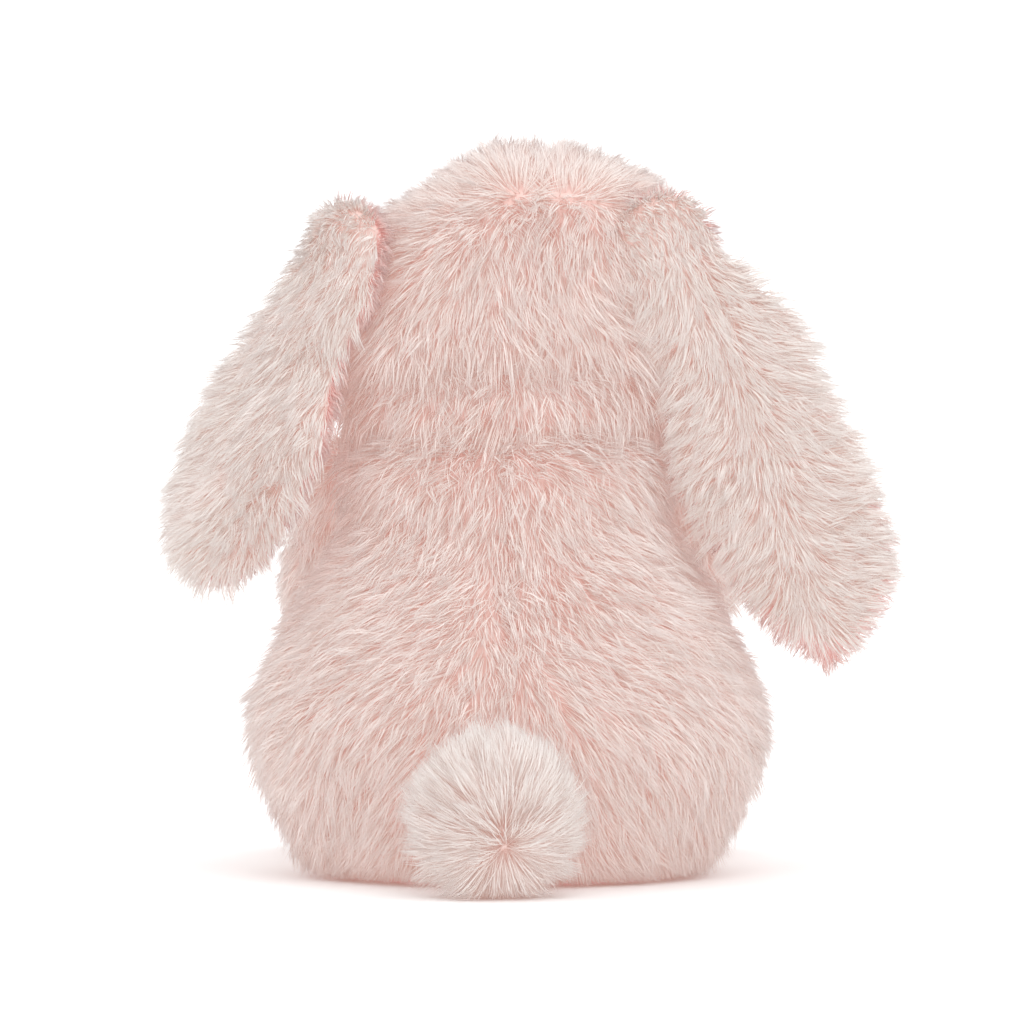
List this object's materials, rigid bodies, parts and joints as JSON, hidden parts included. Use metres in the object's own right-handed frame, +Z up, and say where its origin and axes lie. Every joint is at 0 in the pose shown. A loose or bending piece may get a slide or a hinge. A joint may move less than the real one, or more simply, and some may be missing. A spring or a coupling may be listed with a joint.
{
  "type": "stuffed bunny rabbit",
  "caption": "Sitting lop-eared plush bunny in long pale pink pile, with hanging ears, soft jointed limbs and a round pom-pom tail.",
  "frame": {"origin": "middle of the flat base that the bunny sits on", "axes": "+Z up, the bunny faces -Y, its left side is +X and its tail is at +Y"},
  "size_m": [0.1673, 0.1978, 0.176],
  "materials": {
    "long_plush": "matte",
    "short_plush": "matte",
    "pompom_plush": "matte",
    "stuffing": "matte",
    "pouch_cloth": "matte",
    "thread": "satin",
    "pellets": "matte",
    "eye_plastic": "gloss",
    "washer_plastic": "matte"
  },
  "bodies": {
    "torso": {"back_panel_left": "long_plush", "back_panel_right": "long_plush", "belly_panel": "long_plush", "base_panel": "short_plush", "body_stuffing": "stuffing", "pellet_pouch": "pouch_cloth", "pellet_fill": "pellets", "closing_stitches": "thread"},
    "neck": {"neck_sleeve": "long_plush", "neck_stuffing": "stuffing", "neck_stitches": "thread"},
    "head": {"head_panel_left": "long_plush", "head_panel_right": "long_plush", "head_gusset": "long_plush", "head_stuffing": "stuffing", "muzzle_panel": "short_plush", "muzzle_stuffing": "stuffing", "nose_stitches": "thread", "mouth_stitches": "thread", "eye_left": "eye_plastic", "eye_right": "eye_plastic", "eye_washer_left": "washer_plastic", "eye_washer_right": "washer_plastic"},
    "ear_left": {"ear_back_left": "long_plush", "ear_lining_left": "short_plush"},
    "ear_right": {"ear_back_right": "long_plush", "ear_lining_right": "short_plush"},
    "arm_left": {"arm_outer_left": "long_plush", "arm_inner_left": "long_plush", "arm_stuffing_left": "stuffing"},
    "arm_right": {"arm_outer_right": "long_plush", "arm_inner_right": "long_plush", "arm_stuffing_right": "stuffing"},
    "leg_left": {"leg_outer_left": "long_plush", "leg_inner_left": "long_plush", "leg_sole_left": "short_plush", "leg_stuffing_left": "stuffing"},
    "leg_right": {"leg_outer_right": "long_plush", "leg_inner_right": "long_plush", "leg_sole_right": "short_plush", "leg_stuffing_right": "stuffing"},
    "tail": {"tail_pompom": "pompom_plush", "tail_tie": "thread"}
  },
  "joints": [
    {"name": "head_turn", "type": "hinge", "parent": "torso", "child": "neck", "pos_m": [0, 0, 0.112], "axis": [0, 0, 1], "range_deg": [-20, 20]},
    {"name": "head_nod", "type": "hinge", "parent": "neck", "child": "head", "pos_m": [0, -0.004, 0.145], "axis": [1, 0, 0], "range_deg": [-10, 15]},
    {"name": "ear_lift_left", "type": "hinge", "parent": "head", "child": "ear_left", "pos_m": [0.042, 0.012, 0.155], "axis": [0, -1, 0], "range_deg": [0, 120]},
    {"name": "ear_lift_right", "type": "hinge", "parent": "head", "child": "ear_right", "pos_m": [-0.042, 0.012, 0.155], "axis": [0, 1, 0], "range_deg": [0, 120]},
    {"name": "arm_swing_left", "type": "hinge", "parent": "torso", "child": "arm_left", "pos_m": [0.03993, -0.02305, 0.098], "axis": [-1, 0, 0], "range_deg": [0, 90]},
    {"name": "arm_swing_right", "type": "hinge", "parent": "torso", "child": "arm_right", "pos_m": [-0.03993, -0.02305, 0.098], "axis": [-1, 0, 0], "range_deg": [0, 90]},
    {"name": "leg_spread_left", "type": "hinge", "parent": "torso", "child": "leg_left", "pos_m": [0.031, -0.046, 0.0133], "axis": [0, 0, 1], "range_deg": [0, 40]},
    {"name": "leg_spread_right", "type": "hinge", "parent": "torso", "child": "leg_right", "pos_m": [-0.031, -0.046, 0.0133], "axis": [0, 0, -1], "range_deg": [0, 40]},
    {"name": "tail_wag", "type": "hinge", "parent": "torso", "child": "tail", "pos_m": [0.003, 0.05609, 0.0193], "axis": [0, 0, 1], "range_deg": [-20, 20]}
  ]
}
